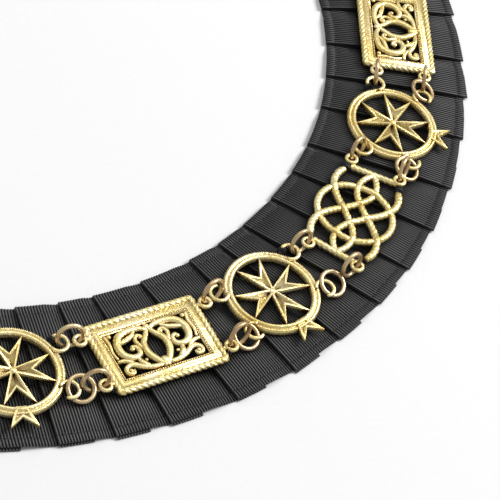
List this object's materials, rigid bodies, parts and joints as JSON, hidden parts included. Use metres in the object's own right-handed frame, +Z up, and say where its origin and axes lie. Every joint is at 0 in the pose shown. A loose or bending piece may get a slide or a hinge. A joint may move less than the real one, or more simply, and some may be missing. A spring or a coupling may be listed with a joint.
{
  "type": "chain of office",
  "caption": "Ceremonial chain of cast gilt ring, plate and knot links sewn flat on a circular collar of knife-pleated black ribbon.",
  "frame": {"origin": "centre of the collar, on the surface that it lies on", "axes": "+Z up out of the collar's face, -Y towards the wearer's front centre link, +X to the right seen from above"},
  "size_m": [0.4712, 0.4712, 0.0151],
  "materials": {
    "ribbon": "ribbed grosgrain, soft sheen",
    "gilt_metal": "cast and gilded, finely grained, bright edges",
    "worn_gilt_wire": "worn gilt wire, smooth"
  },
  "bodies": {
    "root": {"ribbon_collar": "ribbon", "cross_link_01": "gilt_metal", "cross_link_02": "gilt_metal", "cross_link_03": "gilt_metal", "cross_link_04": "gilt_metal", "cross_link_05": "gilt_metal", "cross_link_06": "gilt_metal", "cross_link_07": "gilt_metal", "cross_link_08": "gilt_metal", "cross_link_09": "gilt_metal", "cross_link_10": "gilt_metal", "cross_link_11": "gilt_metal", "plate_link_01": "gilt_metal", "plate_link_02": "gilt_metal", "plate_link_03": "gilt_metal", "plate_link_04": "gilt_metal", "plate_link_05": "gilt_metal", "plate_link_06": "gilt_metal", "knot_link_01": "gilt_metal", "knot_link_02": "gilt_metal", "knot_link_03": "gilt_metal", "knot_link_04": "gilt_metal", "knot_link_05": "gilt_metal", "jump_ring_inner_01": "worn_gilt_wire", "jump_ring_inner_02": "worn_gilt_wire", "jump_ring_inner_03": "worn_gilt_wire", "jump_ring_inner_04": "worn_gilt_wire", "jump_ring_inner_05": "worn_gilt_wire", "jump_ring_inner_06": "worn_gilt_wire", "jump_ring_inner_07": "worn_gilt_wire", "jump_ring_inner_08": "worn_gilt_wire", "jump_ring_inner_09": "worn_gilt_wire", "jump_ring_inner_10": "worn_gilt_wire", "jump_ring_inner_11": "worn_gilt_wire", "jump_ring_inner_12": "worn_gilt_wire", "jump_ring_inner_13": "worn_gilt_wire", "jump_ring_inner_14": "worn_gilt_wire", "jump_ring_inner_15": "worn_gilt_wire", "jump_ring_inner_16": "worn_gilt_wire", "jump_ring_inner_17": "worn_gilt_wire", "jump_ring_inner_18": "worn_gilt_wire", "jump_ring_inner_19": "worn_gilt_wire", "jump_ring_inner_20": "worn_gilt_wire", "jump_ring_inner_21": "worn_gilt_wire", "jump_ring_inner_22": "worn_gilt_wire"}
  },
  "joints": []
}
